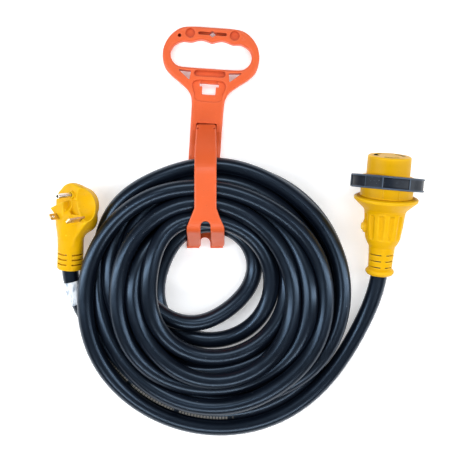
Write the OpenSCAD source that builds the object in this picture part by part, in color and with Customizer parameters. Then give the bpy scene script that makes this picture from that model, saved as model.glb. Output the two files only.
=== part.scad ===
// Shore power cord, coiled and laid flat, held by a folding strap carrier.
// +Z is up off the table. The origin is on the table, under the middle of the box round the
// carrier, the plug and the connector. The cord's own coil and leads are left out of that box.

/* [Cord] */
// Outside diameter of the cord's jacket
cord_d = 16.5; // [15.5:0.1:16.5]
// Outer radius of the coil
coil_r = 135; // [132:0.5:136]
// Radius of the hole in the middle of the coil
coil_hole_r = 51; // [48:0.5:52]
// Height of the coil under the carrier's arm, three layers of cord
coil_h = 48.5; // [44:0.5:49]
// Height of the coil at the far side, two layers of cord
coil_low_h = 36; // [33:0.5:44]

/* [Carrier] */
// Thickness of the grip
grip_t = 12; // [10:0.5:14]
// Thickness of the neck that the arm latches into
neck_t = 9; // [8:0.5:10]
// Thickness of the strap under the coil, and of the arm over it
strap_t = 4.5; // [4:0.1:4.5]
// Width of the arm where it lies on the coil
arm_w = 21.5; // [18:0.5:24]
// Width over the arm's two legs
fork_w = 37; // [34:0.5:40]
// Width of the gap between the legs
fork_gap = 9.5; // [7:0.5:11]

/* [Plug] */
// Length of a blade outside the face
blade_l = 17.5; // [15:0.5:19]
// Width of a blade
blade_w = 6.6; // [6:0.1:7]
// Thickness of a blade
blade_t = 1.7; // [1.5:0.1:1.8]
// Distance of each blade from the middle of the face
blade_x = 12.5; // [11:0.5:13]
// Length of the ground pin outside the face
pin_l = 19.5; // [18:0.5:21]
// Radius of the ground pin
pin_r = 2.4; // [2.2:0.1:2.6]
// Radius of the neck that the cord goes into
plug_neck_r = 13; // [12:0.5:13]

/* [Connector] */
// Radius of the round nose with the contact slots
nose_r = 21.4; // [21:0.1:21.8]
// Length of the nose in front of the retaining shoulder
nose_l = 21.5; // [20:0.5:26]
// Outer radius of the locking ring
ring_r = 36.5; // [36:0.1:37]
// Width of the locking ring
ring_w = 13.3; // [12:0.1:14]
// Number of raised grip pads round the locking ring
ring_pads = 5; // [4:1:8]
// Radius of the flange behind the ring
flange_r = 31.8; // [31:0.1:32.2]

/* [Hidden] */

fine = 96;
small = 32;
clear = 0.1;
cut = 1;
cord_r = cord_d / 2;
rest_z = cord_r + 0.05;

orange = [0.95, 0.38, 0.20];
yellow = [0.98, 0.76, 0.05];
dark_yellow = [0.85, 0.62, 0.05];
black = [0.07, 0.07, 0.08];
ring_blue_black = [0.10, 0.12, 0.17];
brass = [0.80, 0.62, 0.30];
nickel = [0.75, 0.75, 0.72];
copper = [0.80, 0.45, 0.25];

// ---------------------------------------------------------------- curves

// One point of a Catmull-Rom curve between p1 and p2, at t from 0 to 1
function rom(p0, p1, p2, p3, t) = 0.5 * (2 * p1 + (p2 - p0) * t
    + (2 * p0 - 5 * p1 + 4 * p2 - p3) * t * t + (3 * p1 - 3 * p2 + p3 - p0) * t * t * t);

// A smooth closed outline through points
function loop_through(points, steps) = let (n = len(points)) [
    for (i = [0 : n - 1], k = [0 : steps - 1])
        rom(points[(i + n - 1) % n], points[i], points[(i + 1) % n], points[(i + 2) % n], k / steps)
];

// A smooth open line through points
function line_through(points, steps) = let (n = len(points)) [
    for (i = [0 : n - 2], k = [0 : steps - 1])
        rom(points[max(i - 1, 0)], points[i], points[i + 1], points[min(i + 2, n - 1)], k / steps),
    points[n - 1]
];

// Direction of a line at its point i
function heading(line, i) = let (
    a = line[max(i - 1, 0)], b = line[min(i + 1, len(line) - 1)]
) (b - a) / norm(b - a);

// A line's two sides as one outline, half a thickness to each side
function thick_line(line, t) = let (n = len(line)) [
    for (i = [0 : n - 1]) let (d = heading(line, i)) line[i] + [-d[1], d[0]] * t / 2,
    for (i = [n - 1 : -1 : 0]) let (d = heading(line, i)) line[i] - [-d[1], d[0]] * t / 2
];

function mirrored(half) = concat(half, [for (i = [len(half) - 1 : -1 : 0]) [-half[i][0], half[i][1]]]);

// A round tube swept along a line that never runs straight up
module tube(points, r, sides = 12, steps = 2) {
    line = line_through(points, steps);
    n = len(line);
    rings = [for (i = [0 : n - 1]) let (
        d = heading(line, i), s = [-d[1], d[0], 0] / norm([d[0], d[1]]), u = cross(s, d)
    ) for (k = [0 : sides - 1]) line[i] + r * (cos(360 * k / sides) * s + sin(360 * k / sides) * u)];
    walls = [for (i = [0 : n - 2], k = [0 : sides - 1]) let (k2 = (k + 1) % sides)
        [i * sides + k, i * sides + k2, (i + 1) * sides + k2, (i + 1) * sides + k]];
    ends = [[for (k = [sides - 1 : -1 : 0]) k], [for (k = [0 : sides - 1]) (n - 1) * sides + k]];
    polyhedron(rings, concat(walls, ends), convexity = 6);
}

// A straight rod between two points
module rod(a, b, r) {
    d = b - a;
    translate(a) rotate([0, acos(d[2] / norm(d)), atan2(d[1], d[0])]) cylinder(h = norm(d), r = r, $fn = small);
}

module slab(x, y, z, h, s) { translate([x - s[0] / 2, y - s[1] / 2, z]) cube([s[0], s[1], h]); }

// ---------------------------------------------------------------- carrier

// The grip and neck are bent 3.9 degrees sideways at the latch; the strap and arm lie straight.
latch_pos = [-28.7, 27.7, 0];
grip_tilt = -3.9;
strap_x = -30.4;
arm_x = -28.9;
hinge_y = -94.7;
hinge_z = strap_t / 2;
web_start = 3.1;
bend_y = -35;
slot_len = 6;
slot_y = -1.4;
tongue_t = 3;

half_outline = [
    [0, 98.3], [21.5, 98.2], [32.5, 96], [41, 89.5], [47, 80], [49, 69], [46.5, 57], [39.5, 48.5],
    [30, 41.5], [22, 35], [18, 29], [16.6, 22], [16.2, 10], [16.1, -12], [16.1, bend_y]
];
half_opening = [
    [0, 82.6], [5, 84.6], [10, 85.6], [15, 84.8], [20.6, 82.8], [26, 83], [30.5, 82.7], [37.2, 79],
    [40.9, 72.5], [40.2, 65.5], [36.2, 60], [30.5, 57.3], [18, 56.8], [0, 56.8]
];

module on_handle() { translate(latch_pos) rotate([0, 0, grip_tilt]) children(); }

// Outline of the grip and neck: smooth round the outside, square where the strap carries on
module handle_outline() {
    half = line_through(half_outline, 5);
    polygon(mirrored([for (i = [1 : len(half) - 1]) half[i]]));
}

module opening_outline() {
    half = line_through(half_opening, 4);
    polygon(mirrored([for (i = [1 : len(half) - 2]) half[i]]));
}

module handle_side() {
    rotate([90, 0, 90]) linear_extrude(120, center = true) polygon([
        [110, 0], [110, grip_t], [46, grip_t], [24, neck_t], [-6, neck_t], [-18, strap_t + 0.3],
        [bend_y - cut, strap_t + 0.3], [bend_y - cut, 0]
    ]);
}

module stadium(len_x, h) {
    square([len_x - h, h], center = true);
    for (s = [-1, 1]) translate([s * (len_x - h) / 2, 0]) circle(h / 2, $fn = small);
}

module handle_cuts() {
    deep = grip_t + 2 * cut;
    translate([0, 0, -cut]) linear_extrude(deep) opening_outline();
    for (s = [-1, 1]) {
        translate([0, 0, -cut]) linear_extrude(deep)
            polygon([[s * 19, 53.4], [s * 32.2, 54], [s * 20.4, 44.4]]);
        translate([s * 22.5, 91.5, grip_t - 4]) cylinder(h = deep, r = 4.8, $fn = fine);
    }
    translate([-33.1, 88.3, grip_t - 6]) cylinder(h = deep, r = 1.7, $fn = small);
    translate([31.4, 89.4, grip_t - 0.6]) cylinder(h = deep, r = 1.5, $fn = small);
    translate([0, 92, grip_t - 5]) linear_extrude(deep) stadium(28.8, 2.7);
    translate([0, 91.5, -cut]) linear_extrude(deep) polygon([[-3.9, 0], [0, 3.3], [3.9, 0], [0, -3.3]]);
    translate([0, 51.7, grip_t - 5]) linear_extrude(deep) stadium(31.8, 6.2);
    translate([0, 0, neck_t - 0.8]) linear_extrude(deep) polygon(loop_through([
        [-13, 44.4], [0, 44.6], [13, 44.4], [17, 40], [14.5, 32], [11.2, 24.5],
        [-11.2, 24.5], [-14.5, 32], [-17, 40]
    ], 4));
    translate([0, 40.4, -cut]) linear_extrude(deep) square([19.6, 3.2], center = true);
    translate([0, 35.8, -cut]) linear_extrude(deep) square([13.6, 10.1], center = true);
    translate([0, slot_y, -cut]) linear_extrude(deep) square([20, slot_len], center = true);
}

module rear_strap() {
    w = 16.5;
    linear_extrude(strap_t) difference() {
        polygon([[strap_x - w, -3], [strap_x + w - 1, -3], [strap_x + w, -60], [strap_x + fork_w / 2, -78],
                 [strap_x + fork_w / 2, hinge_y], [strap_x - fork_w / 2, hinge_y],
                 [strap_x - fork_w / 2, -78], [strap_x - w, -60]]);
        translate([strap_x, hinge_y + 3]) {
            circle(5.5, $fn = fine);
            translate([-5.5, -10]) square([11, 10]);
        }
    }
    for (s = [-1, 1]) translate([strap_x + s * (fork_w + 11) / 4, hinge_y, hinge_z])
        rotate([0, 90, 0]) cylinder(h = (fork_w - 11) / 2 - 0.2, r = strap_t / 2 - 0.1, center = true, $fn = small);
}

module carrier_handle() color(orange) {
    on_handle() difference() {
        intersection() {
            linear_extrude(grip_t) handle_outline();
            handle_side();
        }
        handle_cuts();
    }
    rear_strap();
}

// Middle line of the arm seen from the side, from the legs' feet to the latch, as [y, z]
arm_line = [
    [-93.1, 6.6], [-87.7, 21], [-81.6, 37.4], [-77.2, 46.8], [-69.5, 51.4], [-58, 52.3], [-45, 52.4],
    [-30, 52.3], [-18, 50.2], [-6, 43], [6, 32], [17, 20.8], [26, 11.3]
];

module arm_plan() {
    w = arm_w / 2;
    f = fork_w / 2;
    difference() {
        polygon([
            [-w + 1.2, 27.4], [w - 1.2, 27.4], [w, 0], [w, -58], [w + 3, -68], [f, -76],
            [f, -93], [f - 2, -99], [-f + 1, -99], [-f, -93], [-f, -76], [-w - 4, -68], [-w, -58], [-w, 0]
        ]);
        translate([0, -74.5]) circle(fork_gap / 2, $fn = fine);
        polygon([[-fork_gap / 2, -74.5], [fork_gap / 2, -74.5], [fork_gap / 2 + 1, -100], [-fork_gap / 2 - 1, -100]]);
    }
}

module carrier_arm() color(orange) translate([arm_x, 0, 0]) {
    intersection() {
        rotate([90, 0, 90]) linear_extrude(60, center = true) polygon(thick_line(line_through(arm_line, 4), strap_t));
        linear_extrude(60) arm_plan();
    }
    // The thin web at each leg's foot
    for (s = [-1, 1]) translate([s * (fork_w + fork_gap) / 4, hinge_y, hinge_z]) rotate([-20.7, 0, 0])
        slab(0, 0, web_start, 4, [(fork_w - fork_gap) / 2 - 2, 1.6]);
    // The tongue that drops into the neck's slot
    slab(0, latch_pos[1] + slot_y, 2.5, 11, [arm_w - 4.5, tongue_t]);
}

// ---------------------------------------------------------------- plug

// The plug's own axes: X across the face, Y from the neck to the head, Z out of the face.
// Its origin is where the ground pin leaves the face.
plug_pos = [-160.2, -43.5, 37.3];
plug_turn = -3;
plug_pitch = 11;
plug_roll = 39;
face_d = 26;
neck_axis = [-7.4, 0, -6.5];
tail_y = -77.5;
blade_y = -22.7;
block_h = 8.5;
boss_h = 3;
pin_root_r = 1.9;
jacket_y = -54;
plug_wire_r = 1.7;
crimp_r = 2.3;
crimp_z = -17.5;
root_z = -15;
scoop_pos = [27.4, -4, 8];
scoop_r = 22.9;

module on_plug() {
    translate(plug_pos) rotate([0, 0, plug_turn]) rotate([plug_pitch, 0, 0]) rotate([0, -plug_roll, 0]) children();
}

module plug_head() {
    hull() {
        translate([0, -12, -4]) cylinder(h = 4, r = 22.5, $fn = small);
        translate([0, -22, -4]) cylinder(h = 4, r = 23, $fn = small);
        translate([-1, -12, -face_d]) cylinder(h = 12, r = 18, $fn = small);
        translate([-1.5, -27, -face_d]) cylinder(h = 12, r = 16, $fn = small);
    }
    hull() {
        translate([0, -27, -14]) rotate([90, 0, 0]) cylinder(h = 2, r = 14, $fn = small);
        translate([neck_axis[0], -47, neck_axis[2]]) rotate([90, 0, 0]) cylinder(h = 2, r = plug_neck_r, $fn = small);
        translate([-6, -24, -6]) cylinder(h = 5, r = 14, $fn = small);
    }
}

module plug_neck() {
    translate([neck_axis[0], -45, neck_axis[2]]) rotate([90, 0, 0]) rotate_extrude($fn = fine) polygon([
        [0, 0], [plug_neck_r, 0], [plug_neck_r, 29.5], [plug_neck_r - 2.5, 32.5], [0, 32.5]
    ]);
}

// Three rows of relief slots, in four groups round the neck
module neck_slots() {
    for (row = [0 : 2], turn = [18, 108, 198, 288])
        translate([neck_axis[0], -60 - 5 * row, neck_axis[2]]) rotate([90, 0, 0]) rotate([0, 0, 60 - turn])
            rotate_extrude(angle = 66, $fn = fine) translate([plug_neck_r - 1.2, 0]) square([3, 1.1]);
}

module plug_blade_shape(side, low, high) {
    translate([side * blade_x, blade_y, low]) rotate([0, 0, side * 42]) difference() {
        slab(0, 0, 0, high - low, [blade_w, blade_t]);
        translate([0, 0, high - low]) for (s = [-1, 1]) translate([s * blade_w / 2, 0, 0])
            rotate([0, 45, 0]) cube([2, blade_t + cut, 2], center = true);
    }
}

module plug_pin_root(grow) { translate([0, 0, root_z]) cylinder(h = boss_h + cut - root_z, r = pin_root_r + grow, $fn = fine); }

// The block that the blades and crimps are moulded into
module plug_core_block(grow) {
    intersection() {
        hull() {
            translate([0, -12, -20 - grow]) cylinder(h = 6.2 + 2 * grow, r = 15 + grow, $fn = fine);
            translate([-0.5, -24, -20 - grow]) cylinder(h = 6.2 + 2 * grow, r = 14.5 + grow, $fn = fine);
        }
        translate([-20, -32 - grow, -22]) cube([40, 40, 20]);
    }
}

function plug_ends() = [[-blade_x + 2.2, blade_y], [blade_x - 2.2, blade_y], [0, 0]];

module plug_crimp_shapes() {
    for (e = plug_ends()) translate([e[0], e[1], crimp_z]) {
        rotate([90, 0, 0]) cylinder(h = 6, r = crimp_r, $fn = fine);
        translate([-2.2, -2, 0]) cube([4.4, 4, root_z - crimp_z]);
    }
}

module plug_wire_shape(i) {
    e = plug_ends()[i];
    entry = [[-4, jacket_y, 2], [4, jacket_y, 2], [0, jacket_y, -5]][i];
    rod([neck_axis[0] + entry[0], entry[1] + 1, neck_axis[2] + entry[2]], [e[0], e[1] - 3, crimp_z], plug_wire_r);
}

module plug_body() color(yellow) on_plug() difference() {
    union() {
        plug_head();
        plug_neck();
        // Raised block round the hot blade, and the collar round the ground pin
        translate([-15.5, -16, -2]) rotate([0, 0, 35]) translate([-6.5, -5, 0]) cube([13, 10, block_h + 2]);
        translate([0, 0, -2]) cylinder(h = boss_h + 2, r = 3.5, $fn = fine);
    }
    neck_slots();
    // Finger scoop in the side of the head
    translate(scoop_pos) sphere(scoop_r, $fn = fine);
    // Shallow square panel in the face
    translate([0, -19, -0.8]) cube([13, 14, 3]);
    plug_core_block(clear);
    // Ways through the face for the blades and the pin
    for (s = [-1, 1]) translate([s * blade_x, blade_y, root_z]) rotate([0, 0, s * 42])
        slab(0, 0, 0, 30, [blade_w + 2 * clear, blade_t + 2 * clear]);
    plug_pin_root(clear);
    // Way for the cord and its three wires
    translate([neck_axis[0], jacket_y + 2, neck_axis[2]]) rotate([90, 0, 0]) cylinder(h = 40, r = cord_r + clear, $fn = fine);
    for (i = [0 : 2]) plug_wire_shape(i);
}

module plug_core() color(dark_yellow) on_plug() difference() {
    plug_core_block(0);
    plug_crimp_shapes();
    for (i = [0 : 2]) plug_wire_shape(i);
    for (s = [-1, 1]) translate([s * blade_x, blade_y, root_z]) rotate([0, 0, s * 42])
        slab(0, 0, 0, 20, [blade_w + 2 * clear, blade_t + 2 * clear]);
    plug_pin_root(clear);
}

module blade_hole(side) {
    translate([side * blade_x, blade_y, blade_l - 4]) rotate([0, 0, side * 42]) rotate([90, 0, 0])
        cylinder(h = 10, r = 1.6, center = true, $fn = fine);
}

module plug_hot_blade() color(brass) on_plug() difference() {
    plug_blade_shape(-1, root_z, blade_l);
    blade_hole(-1);
}

module plug_neutral_blade() color(brass) on_plug() difference() {
    plug_blade_shape(1, root_z, blade_l);
    blade_hole(1);
}

module plug_ground_pin() color(nickel) on_plug() difference() {
    union() {
        plug_pin_root(0);
        translate([0, 0, boss_h]) cylinder(h = pin_l - boss_h, r = pin_r, $fn = fine);
    }
    translate([0, 0, pin_l - 7]) cylinder(h = 10, r = pin_r - 0.8, $fn = fine);
}

module plug_crimps() color(copper) on_plug() difference() {
    plug_crimp_shapes();
    for (i = [0 : 2]) plug_wire_shape(i);
}

module plug_hot_wire() color(black) on_plug() plug_wire_shape(0);
module plug_neutral_wire() color("white") on_plug() plug_wire_shape(1);
module plug_ground_wire() color("green") on_plug() plug_wire_shape(2);

// ---------------------------------------------------------------- connector

// The connector's own axis is Z, towards the nose, and -Y is the side that lies uppermost.
// Its origin is at the middle of the flange's front face.
conn_pos = [149.2, -45.1, 34.7];
conn_turn = -3.5;
conn_rise = 11.5;
collar_r = 25.9;
shoulder_r = 27.8;
shoulder_z = 17;
nose_front = shoulder_z + 2 + nose_l;
tail_z = -80;
conn_jacket_z = -50;
slot_r = 14.3;
slot_w = 2.4;
slot_angle = 62;
slot_turns = [150, 30, 270];
contact_back = 18;
conn_wire_r = 1.9;
conn_crimp_r = 3.2;
hub_r = 19;
light_z = -31;

module on_connector() {
    translate(conn_pos) rotate([0, 0, conn_turn]) rotate([conn_rise - 90, 0, 0]) children();
}

module grip_panels() {
    for (a = [0 : 30 : 330]) rotate([0, 0, a + 15]) translate([0, -21.3, -29]) rotate([2.6, 0, 0])
        cube([7.2, 4, 25], center = true);
}

module relief_slots() {
    for (row = [0 : 2], turn = [0, 90, 180, 270]) translate([0, 0, -58.5 - 6.3 * row]) rotate([0, 0, turn + 15])
        rotate_extrude(angle = 72, $fn = fine) translate([10.2, 0]) square([4.6, 1.3]);
}

module light_seat(grow) {
    translate([-11, 0, light_z]) rotate([0, -90, 0]) cylinder(h = 20, r = 4.5 + grow, $fn = fine);
}

module core_space(grow) {
    translate([0, 0, -22 - grow]) cylinder(h = 17.8 + 2 * grow, r = 17 + grow, $fn = fine);
}

module connector_body() color(yellow) on_connector() difference() {
    rotate_extrude($fn = fine) polygon([
        [0, 0], [29.5, 0], [flange_r, -1.2], [flange_r, -3.6], [29.5, -5.6], [21.5, -12], [20.2, -14],
        [20, -20], [19, -32], [17.4, -42], [15.6, -46], [13, -50.5], [12.6, -58], [11.8, -72.5],
        [14.2, -74.5], [14.3, -76.5], [12.5, -79], [9.8, tail_z], [0, tail_z]
    ]);
    grip_panels();
    relief_slots();
    light_seat(clear);
    core_space(clear);
    translate([0, 0, -4]) cylinder(h = 10, r = hub_r + clear, $fn = fine);
    translate([0, 0, tail_z - cut]) cylinder(h = conn_jacket_z - tail_z + 2 * cut, r = cord_r + clear, $fn = fine);
    for (i = [0 : 2]) conn_wire_shape(i);
}

module contact_arc(i, r, w, low, high, spread) {
    rotate([0, 0, slot_turns[i] - spread / 2]) translate([0, 0, low])
        rotate_extrude(angle = spread, $fn = fine) translate([r - w / 2, 0]) square([w, high - low]);
}

module connector_nose() color(yellow) on_connector() difference() {
    rotate_extrude($fn = fine) polygon([
        [0, -4], [hub_r, -4], [hub_r, 0], [collar_r, 0], [collar_r, shoulder_z], [shoulder_r, shoulder_z],
        [shoulder_r, shoulder_z + 2], [nose_r, shoulder_z + 2], [nose_r, nose_front - 1.5],
        [nose_r - 1.5, nose_front], [0, nose_front]
    ]);
    for (i = [0 : 2]) {
        contact_arc(i, slot_r, slot_w, contact_back, nose_front + cut, slot_angle);
        contact_arc(i, slot_r, 6, 2 - clear, contact_back + cut, 40);
        rotate([0, 0, slot_turns[i]]) translate([slot_r, 0, -6]) cylinder(h = 10, r = conn_crimp_r + clear, $fn = fine);
    }
}

module contact(i) {
    difference() {
        contact_arc(i, slot_r, 5, 8, contact_back - 1, 34);
        contact_arc(i, slot_r, slot_w, 11, contact_back, 40);
    }
    rotate([0, 0, slot_turns[i]]) translate([slot_r, 0, 2]) cylinder(h = 6.5, r = 2, $fn = fine);
}

module connector_core() color(dark_yellow) on_connector() difference() {
    core_space(0);
    for (i = [0 : 2]) conn_wire_shape(i);
}

module connector_crimps() color(copper) on_connector() difference() {
    for (i = [0 : 2]) rotate([0, 0, slot_turns[i]]) translate([slot_r, 0, -3.8]) cylinder(h = 5.6, r = conn_crimp_r, $fn = fine);
    for (i = [0 : 2]) conn_wire_shape(i);
}

module conn_wire_shape(i) {
    a = slot_turns[i];
    far = slot_r - 0.3;
    rod([4 * cos(a), 4 * sin(a), conn_jacket_z + 0.6], [far * cos(a), far * sin(a), -1], conn_wire_r);
}

module connector_hot_contact() color(brass) on_connector() contact(0);
module connector_neutral_contact() color(nickel) on_connector() contact(1);
module connector_ground_contact() color(brass) on_connector() contact(2);
module connector_hot_wire() color(black) on_connector() conn_wire_shape(0);
module connector_neutral_wire() color("white") on_connector() conn_wire_shape(1);
module connector_ground_wire() color("green") on_connector() conn_wire_shape(2);

module power_light_lens() color([0.95, 0.6, 0.1]) on_connector() difference() {
    translate([-13, 0, light_z]) rotate([0, -90, 0]) rotate_extrude($fn = fine) polygon([
        [0, 0], [4.5, 0], [4.5, 3.5], [4.4, 7.5], [3, 9.2], [0, 9.8]
    ]);
    translate([-13 + cut, 0, light_z]) rotate([0, -90, 0]) cylinder(h = 6, r = 2.7, $fn = fine);
}

module power_light_led() color("red") on_connector() translate([-11.2, 0, light_z]) rotate([0, -90, 0]) {
    cylinder(h = 4, r = 2.5, $fn = fine);
    translate([0, 0, 4]) sphere(2.5, $fn = fine);
}

// ---------------------------------------------------------------- locking ring

// The loose ring stands on the table, so it leans back from the connector's axis.
ring_lean = conn_rise - 3;
lip_w = 3.4;
lip_r = 27.2;
thread_r = 30.5;
lip_z = 8.45;
gasket_w = 2;
gasket_r = 29.2;

module on_ring() {
    on_connector() translate([0, 0, lip_z]) rotate([-ring_lean, 1.5, 0]) translate([0, 0, (ring_w - lip_w) / 2]) children();
}

module lock_ring() color(ring_blue_black) on_ring() difference() {
    rotate_extrude($fn = fine) difference() {
        translate([lip_r, -ring_w / 2]) square([ring_r - lip_r, ring_w]);
        for (s = [-1, 1]) translate([ring_r, s * ring_w / 2]) rotate(45) square(1.4, center = true);
        translate([lip_r - cut, -ring_w / 2 + lip_w]) square([thread_r - lip_r + cut, ring_w]);
        // The inside thread, as three grooves
        for (k = [0 : 2]) translate([thread_r - 0.1, -0.4 + 2.6 * k]) polygon([[0, -0.9], [1.1, -0.3], [1.1, 0.3], [0, 0.9]]);
    }
    // Shallow hollows between the grip pads
    for (k = [0 : ring_pads - 1]) rotate([0, 0, k * 360 / ring_pads + 255]) translate([0, 0, -ring_w / 2 + 2])
        rotate_extrude(angle = 210 / ring_pads, $fn = fine) translate([ring_r - 0.9, 0]) square([2, ring_w - 4]);
}

module ring_gasket() color(black) on_ring() translate([0, 0, -ring_w / 2 + lip_w + 0.05]) rotate_extrude($fn = fine)
    translate([gasket_r, 0]) square([thread_r - 0.05 - gasket_r, gasket_w]);

// ---------------------------------------------------------------- cord

coil_pos = [-19.9, -145.9, 0];
hole_pos = [-23.8, -127.3, 0];
coil_round = 15;

// Lead from the plug: out of its neck, down to the table and under the coil's outer turn
plug_lead = [
    [-164.5, -94.5, 17.5], [-165.15, -106.3, 15.2], [-165.75, -117.5, 13], [-165, -127, 10.9],
    [-162.2, -137, 9], [-158, -147, 8.4], [-153, -158, 8.4], [-147, -170, 8.4], [-141, -180, 8.4]
];
// Lead from the connector, round to where it is the coil's outermost turn
connector_lead = [
    [146.2, -94, 24.7], [145.3, -108.7, 21.7], [144.4, -123.4, 18.7], [142.4, -133, 16.1],
    [139.6, -143, 12.8], [136.2, -152.5, 10.1], [132, -163, 8.6], [127, -174, 8.4], [121, -186, 8.4], [113, -199, 8.4],
    [103, -212, 8.4], [91, -224, 8.4], [78, -235, 8.4]
];
// One loose turn that strays across the hole, on the table
inner_turn = [
    [19, -70, 9], [17.5, -86, 8.4], [17, -100, 8.4], [15, -113, 8.4], [11, -126, 8.4], [4, -138, 8.4],
    [-6, -148, 8.4], [-18, -157, 8.4], [-31, -165, 8.4], [-44, -172, 8.4], [-58, -178, 9]
];

module cord_plug_lead() color(black) tube(plug_lead, cord_r);
module cord_connector_lead() color(black) tube(connector_lead, cord_r);
module cord_inner_turn() color(black) tube(inner_turn, cord_r, 10);

module cord_label() color("white") {
    a = plug_lead[3];
    b = plug_lead[5];
    difference() {
        rod(a, b, cord_r + 0.35);
        rod(a - (b - a) / 10, b + (b - a) / 10, cord_r - 0.1);
    }
}

module cord_coil() color(black) difference() {
    translate(coil_pos) rotate_extrude($fn = fine) {
        square([coil_r - coil_round, coil_h]);
        translate([0, coil_round]) square([coil_r, coil_h - 2 * coil_round]);
        for (z = [coil_round, coil_h - coil_round]) translate([coil_r - coil_round, z]) circle(coil_round, $fn = fine);
    }
    // The hole, with a rounded rim
    translate(hole_pos + [0, 0, -cut]) cylinder(h = coil_h + 2 * cut, r = coil_hole_r, $fn = fine);
    translate(hole_pos + [0, 0, coil_h - coil_round]) rotate_extrude($fn = fine) difference() {
        square([coil_hole_r + coil_round, coil_round + cut]);
        translate([coil_hole_r + coil_round, 0]) circle(coil_round, $fn = fine);
    }
    // The top falls away from the carrier towards the far side
    translate([0, -70, coil_h]) rotate([atan((coil_h - coil_low_h) / 200), 0, 0]) translate([-200, -300, 0]) cube([400, 300, 60]);
    // Room for the arm's legs, and for the strap under the coil
    translate([arm_x - 20.5, -100, -cut]) cube([41, 26.5, 60]);
    translate([strap_x - 20, -100, -cut]) cube([40, 110, strap_t + 0.4 + cut]);
}

// ---------------------------------------------------------------- drawing

carrier_handle();
carrier_arm();
plug_body();
plug_core();
plug_hot_blade();
plug_neutral_blade();
plug_ground_pin();
plug_crimps();
plug_hot_wire();
plug_neutral_wire();
plug_ground_wire();
connector_body();
connector_nose();
connector_core();
connector_hot_contact();
connector_neutral_contact();
connector_ground_contact();
connector_crimps();
connector_hot_wire();
connector_neutral_wire();
connector_ground_wire();
lock_ring();
ring_gasket();
power_light_lens();
power_light_led();
cord_plug_lead();
cord_coil();
cord_inner_turn();
cord_connector_lead();
cord_label();
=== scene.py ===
"""Shore power cord, coiled in its folding carrier: the visual model, in metres, in the CAD's frame."""
import math

import bmesh
import bpy
import numpy as np
from mathutils import Matrix, Vector


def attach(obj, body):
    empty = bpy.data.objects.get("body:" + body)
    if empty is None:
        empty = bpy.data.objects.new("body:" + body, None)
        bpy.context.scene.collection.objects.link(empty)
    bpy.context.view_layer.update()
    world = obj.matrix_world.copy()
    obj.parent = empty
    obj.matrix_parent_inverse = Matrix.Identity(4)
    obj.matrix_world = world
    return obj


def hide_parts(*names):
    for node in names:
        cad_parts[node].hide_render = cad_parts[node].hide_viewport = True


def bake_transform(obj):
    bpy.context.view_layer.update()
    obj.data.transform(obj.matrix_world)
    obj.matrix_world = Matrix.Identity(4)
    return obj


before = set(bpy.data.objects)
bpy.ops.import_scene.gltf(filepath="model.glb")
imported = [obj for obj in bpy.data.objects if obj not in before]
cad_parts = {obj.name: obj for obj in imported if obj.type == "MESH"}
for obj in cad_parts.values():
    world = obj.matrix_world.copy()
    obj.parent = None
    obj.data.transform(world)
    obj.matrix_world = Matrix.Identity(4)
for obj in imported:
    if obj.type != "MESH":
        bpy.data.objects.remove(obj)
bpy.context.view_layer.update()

SCENE = bpy.context.scene

# ------------------------------------------------------------------ camera

camera = bpy.data.objects.new("camera", bpy.data.cameras.new("camera"))
camera.location = (-0.0099, -0.0734, 1.1)
camera.data.sensor_width = 36
camera.data.lens = 86.4
SCENE.collection.objects.link(camera)
SCENE.camera = camera

# ------------------------------------------------------------------ small helpers


def place(*steps):
    """Matrix in millimetres from translate and rotate steps, written outermost first."""
    m = Matrix.Identity(4)
    for kind, value in steps:
        if kind == "move":
            m = m @ Matrix.Translation(value)
        else:
            m = m @ Matrix.Rotation(math.radians(value), 4, kind.upper())
    return m


def new_mesh(name, verts, faces, smooth=True):
    """Object from arrays of vertices and of faces with the same number of corners."""
    verts, faces = np.asarray(verts, np.float32), np.asarray(faces, np.int32)
    mesh = bpy.data.meshes.new(name)
    corners = faces.shape[1]
    mesh.vertices.add(len(verts))
    mesh.vertices.foreach_set("co", verts.ravel())
    mesh.loops.add(faces.size)
    mesh.loops.foreach_set("vertex_index", faces.ravel())
    mesh.polygons.add(len(faces))
    mesh.polygons.foreach_set("loop_start", np.arange(0, faces.size, corners, dtype=np.int32))
    mesh.polygons.foreach_set("use_smooth", np.full(len(faces), smooth))
    mesh.update(calc_edges=True)
    mesh.validate()
    obj = bpy.data.objects.new(name, mesh)
    SCENE.collection.objects.link(obj)
    return obj


# ------------------------------------------------------------------ cord: its route

CORD_D = 0.0165
CORD_R = CORD_D / 2
COIL_C = np.array([-0.020, -0.140])
PLUG = place(("move", (-160.2, -43.5, 37.3)), ("z", -3), ("x", 11), ("y", -39))
CONNECTOR = place(("move", (149.2, -45.1, 34.7)), ("z", -3.5), ("x", -78.5))
# The axis of the plug's neck, where the cord comes in
NECK_X, NECK_Z = -7.4, -6.5
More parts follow.
